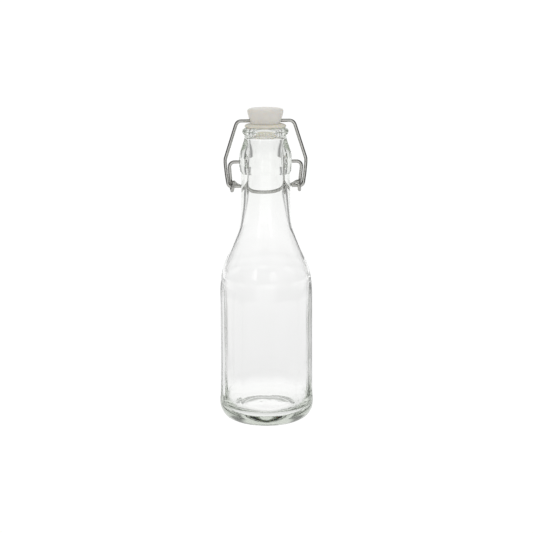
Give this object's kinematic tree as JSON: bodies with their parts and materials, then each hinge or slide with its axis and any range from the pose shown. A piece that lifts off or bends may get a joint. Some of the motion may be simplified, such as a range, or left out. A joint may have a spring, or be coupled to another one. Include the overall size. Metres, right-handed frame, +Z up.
{
  "type": "swing top bottle",
  "caption": "Clear glass bottle with soft flat sides, a thick neck ring and a plastic stopper held down by a steel wire bail and an over-centre wire lever.",
  "frame": {"origin": "middle of the underside, in the plane the bottle stands on", "axes": "+Z up along the bottle's axis; +X along the lever's pivot in the glass; +Y to the back, where the lever's bow lies when the closure is shut"},
  "size_m": [0.0614, 0.0614, 0.2027],
  "materials": {
    "glass": "clear soda-lime bottle glass, smooth, with a faint grey-green cast at the edges",
    "stopper_plastic": "off-white, slightly translucent moulded plastic, satin",
    "gasket_rubber": "cream soft rubber, matt",
    "steel_wire": "bright drawn steel spring wire"
  },
  "bodies": {
    "bottle": {"bottle_body": "glass", "bottle_shoulder": "glass", "bottle_neck": "glass", "bottle_bulb": "glass", "bottle_ring": "glass"},
    "lever": {"lever_wire": "steel_wire"},
    "bail": {"bail_wire": "steel_wire"},
    "stopper": {"stopper_head": "stopper_plastic", "gasket": "gasket_rubber"}
  },
  "joints": [
    {"name": "lever_hinge", "type": "hinge", "parent": "bottle", "child": "lever", "pos_m": [0, 0, 0.1684], "axis": [1, 0, 0], "range_deg": [0, 112]},
    {"name": "bail_hinge", "type": "hinge", "parent": "lever", "child": "bail", "pos_m": [0, -0.0005, 0.1528], "axis": [1, 0, 0], "range_deg": [-70, 0]},
    {"name": "stopper_pivot", "type": "hinge", "parent": "bail", "child": "stopper", "pos_m": [0, 0, 0.1944], "axis": [1, 0, 0], "range_deg": [-42, 0]}
  ],
  "couplings": [
    {"joint": "bail_hinge", "follows": "lever_hinge", "ratio": -0.625},
    {"joint": "stopper_pivot", "follows": "lever_hinge", "ratio": -0.375}
  ]
}
